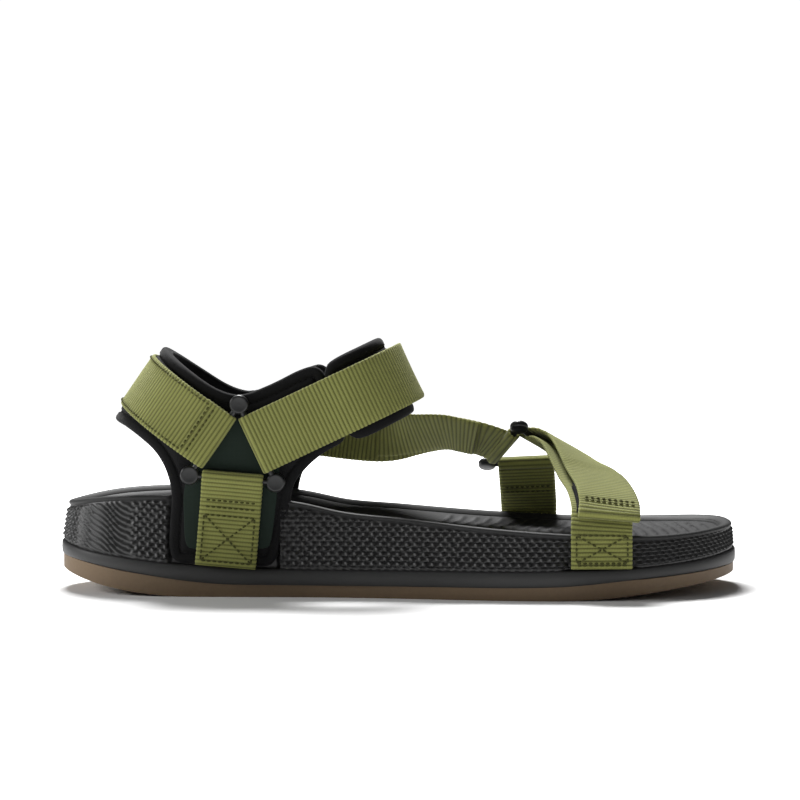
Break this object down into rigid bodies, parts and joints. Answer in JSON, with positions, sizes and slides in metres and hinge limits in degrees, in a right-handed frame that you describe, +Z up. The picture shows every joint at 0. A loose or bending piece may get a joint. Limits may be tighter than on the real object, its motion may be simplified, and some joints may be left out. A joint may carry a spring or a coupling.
{
  "type": "strappy sport sandal",
  "caption": "Right-foot sport sandal with ribbed webbing straps, plastic rings, padded ankle collar, hook-and-loop flaps and a contoured textured footbed.",
  "frame": {"origin": "on the ground under the middle of the sandal", "axes": "+X from heel to toe, +Y towards the medial (inner) side, +Z up"},
  "size_m": [0.284, 0.1079, 0.1046],
  "materials": {
    "brown_rubber": "moulded brown rubber, matt",
    "black_foam": "smooth black foam, satin",
    "footbed_foam": "black moulded foam with a scale texture, satin",
    "black_neoprene": "brushed black lining over soft foam, matt",
    "green_facing": "smooth dark green facing, matt",
    "olive_webbing": "olive ribbed webbing with a slight sheen",
    "black_ring": "black moulded nylon, satin",
    "black_tape": "black hook and loop tape, matt"
  },
  "bodies": {
    "sandal": {"outsole": "brown_rubber", "midsole": "black_foam", "footbed": "footbed_foam", "lateral_quarter": "black_neoprene", "medial_quarter": "black_neoprene", "lateral_quarter_facing": "green_facing", "medial_quarter_facing": "green_facing", "lateral_ring": "black_ring", "medial_ring": "black_ring", "lateral_rear_tag": "olive_webbing", "medial_rear_tag": "olive_webbing", "heel_pad": "black_neoprene", "heel_strap": "olive_webbing", "ankle_pad": "black_neoprene", "ankle_strap": "olive_webbing", "ankle_loop_tape": "black_tape", "front_ring": "black_ring", "forefoot_strap": "olive_webbing", "forefoot_loop_tape": "black_tape", "medial_front_tag": "olive_webbing", "connector_strap": "olive_webbing"},
    "ankle_flap": {"ankle_flap_root": "olive_webbing"},
    "ankle_flap_end": {"ankle_flap_tip": "olive_webbing", "ankle_hook_tape": "black_tape"},
    "forefoot_flap": {"forefoot_flap_root": "olive_webbing"},
    "forefoot_flap_end": {"forefoot_flap_tip": "olive_webbing", "forefoot_hook_tape": "black_tape"}
  },
  "joints": [
    {"name": "ankle_flap_peel", "type": "hinge", "parent": "sandal", "child": "ankle_flap", "pos_m": [-0.05725, -0.0402, 0.06206], "axis": [0.4258, 0, -0.9048], "range_deg": [0, 120]},
    {"name": "ankle_flap_end_peel", "type": "hinge", "parent": "ankle_flap", "child": "ankle_flap_end", "pos_m": [-0.02468, -0.0431, 0.07739], "axis": [0.4258, 0, -0.9048], "range_deg": [0, 80]},
    {"name": "forefoot_flap_peel", "type": "hinge", "parent": "sandal", "child": "forefoot_flap", "pos_m": [0.06178, 0.0256, 0.05851], "axis": [-0.6272, -0.636, 0.4496], "range_deg": [0, 100]},
    {"name": "forefoot_flap_end_peel", "type": "hinge", "parent": "forefoot_flap", "child": "forefoot_flap_end", "pos_m": [0.07739, -0.01417, 0.05097], "axis": [-0.9476, -0.2747, 0.1632], "range_deg": [0, 70]}
  ]
}
